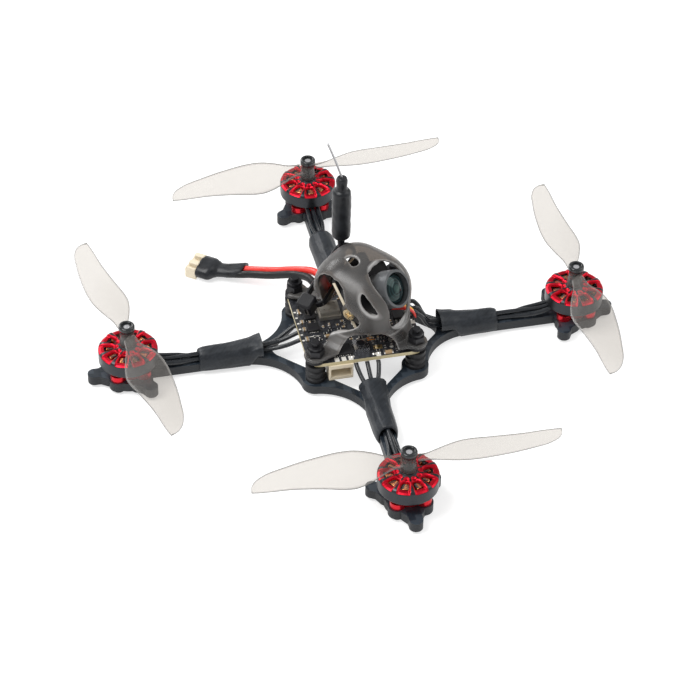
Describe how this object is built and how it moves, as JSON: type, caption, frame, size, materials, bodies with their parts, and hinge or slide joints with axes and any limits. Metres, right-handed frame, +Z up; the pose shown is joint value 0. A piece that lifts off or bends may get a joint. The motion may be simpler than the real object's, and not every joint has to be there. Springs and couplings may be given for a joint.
{
  "type": "mini palm drone",
  "caption": "Small X-frame racing drone with outrunner motors, two-blade propellers, tinted dome canopy over a tilting camera, whip antenna and battery lead.",
  "frame": {"origin": "centre of the frame plate's underside, under the middle of the X", "axes": "+Z up out of the plate towards the canopy, nose and camera towards -Y, the drone's left towards +X"},
  "size_m": [0.1424, 0.1391, 0.056],
  "materials": {
    "carbon": "woven carbon plate, satin",
    "black_steel": "blackened steel",
    "rubber": "soft black rubber",
    "nylon": "black nylon",
    "circuit_board": "black solder mask with gold pads",
    "chips": "moulded black packages",
    "shield": "dull tinned steel",
    "socket_metal": "tinned steel",
    "socket_beige": "natural nylon",
    "tinted_canopy": "smoke-tinted clear plastic",
    "camera_body": "moulded black",
    "lens_ring": "dark grey lens ring",
    "lens_glass": "coated lens glass",
    "brass_screw": "brass, cross recess",
    "lead_insulation": "red silicone",
    "black_insulation": "black silicone",
    "heat_shrink": "matte black heat-shrink",
    "whip_steel": "bare steel",
    "bearing_steel": "ground steel",
    "red_aluminium": "red anodised",
    "stator": "laminations with enamelled copper",
    "motor_bell": "dark grey bell with red anodised pockets",
    "magnet": "nickel-plated",
    "propeller_plastic": "smoke-tinted clear plastic"
  },
  "bodies": {
    "airframe": {"frame_plate": "carbon", "stack_screws": "black_steel", "grommets": "rubber", "lock_nuts": "nylon", "flight_board": "circuit_board", "board_chips": "chips", "shield_can": "shield", "usb_socket": "socket_metal", "lower_socket": "socket_beige", "button_housing": "socket_metal", "canopy": "tinted_canopy", "camera_lead": "lead_insulation", "antenna_sleeve": "heat_shrink", "antenna_whip": "whip_steel", "zip_tie": "nylon", "lead_red": "lead_insulation", "lead_black": "black_insulation", "lead_boot": "heat_shrink", "battery_plug": "socket_beige", "motor_screws": "black_steel", "bearings": "bearing_steel", "front_right_base": "red_aluminium", "front_right_stator": "stator", "front_right_wires": "black_insulation", "front_right_sleeve": "heat_shrink", "front_left_base": "red_aluminium", "front_left_stator": "stator", "front_left_wires": "black_insulation", "front_left_sleeve": "heat_shrink", "rear_right_base": "red_aluminium", "rear_right_stator": "stator", "rear_right_wires": "black_insulation", "rear_right_sleeve": "heat_shrink", "rear_left_base": "red_aluminium", "rear_left_stator": "stator", "rear_left_wires": "black_insulation", "rear_left_sleeve": "heat_shrink"},
    "front_right_rotor": {"front_right_bell": "motor_bell", "front_right_magnets": "magnet", "front_right_shaft": "bearing_steel", "front_right_propeller": "propeller_plastic"},
    "front_left_rotor": {"front_left_bell": "motor_bell", "front_left_magnets": "magnet", "front_left_shaft": "bearing_steel", "front_left_propeller": "propeller_plastic"},
    "rear_right_rotor": {"rear_right_bell": "motor_bell", "rear_right_magnets": "magnet", "rear_right_shaft": "bearing_steel", "rear_right_propeller": "propeller_plastic"},
    "rear_left_rotor": {"rear_left_bell": "motor_bell", "rear_left_magnets": "magnet", "rear_left_shaft": "bearing_steel", "rear_left_propeller": "propeller_plastic"},
    "camera": {"camera_case": "camera_body", "camera_board": "circuit_board", "lens_barrel": "lens_ring", "lens_glass": "lens_glass", "camera_screws": "brass_screw"},
    "button": {"boot_button": "nylon"}
  },
  "joints": [
    {"name": "front_right_spin", "type": "hinge", "parent": "airframe", "child": "front_right_rotor", "pos_m": [-0.04066, -0.04066, 0.0125], "axis": [0, 0, 1], "continuous": true},
    {"name": "front_left_spin", "type": "hinge", "parent": "airframe", "child": "front_left_rotor", "pos_m": [0.04066, -0.04066, 0.0125], "axis": [0, 0, 1], "continuous": true},
    {"name": "rear_right_spin", "type": "hinge", "parent": "airframe", "child": "rear_right_rotor", "pos_m": [-0.04066, 0.04066, 0.0125], "axis": [0, 0, 1], "continuous": true},
    {"name": "rear_left_spin", "type": "hinge", "parent": "airframe", "child": "rear_left_rotor", "pos_m": [0.04066, 0.04066, 0.0125], "axis": [0, 0, 1], "continuous": true},
    {"name": "camera_tilt", "type": "hinge", "parent": "airframe", "child": "camera", "pos_m": [0, -0.0037, 0.0182], "axis": [1, 0, 0], "range_deg": [-8, 8]},
    {"name": "boot_button_press", "type": "slide", "parent": "airframe", "child": "button", "axis": [0, 0, -1], "range_m": [0, 0.0002], "stiffness_N_per_m": 5000}
  ]
}
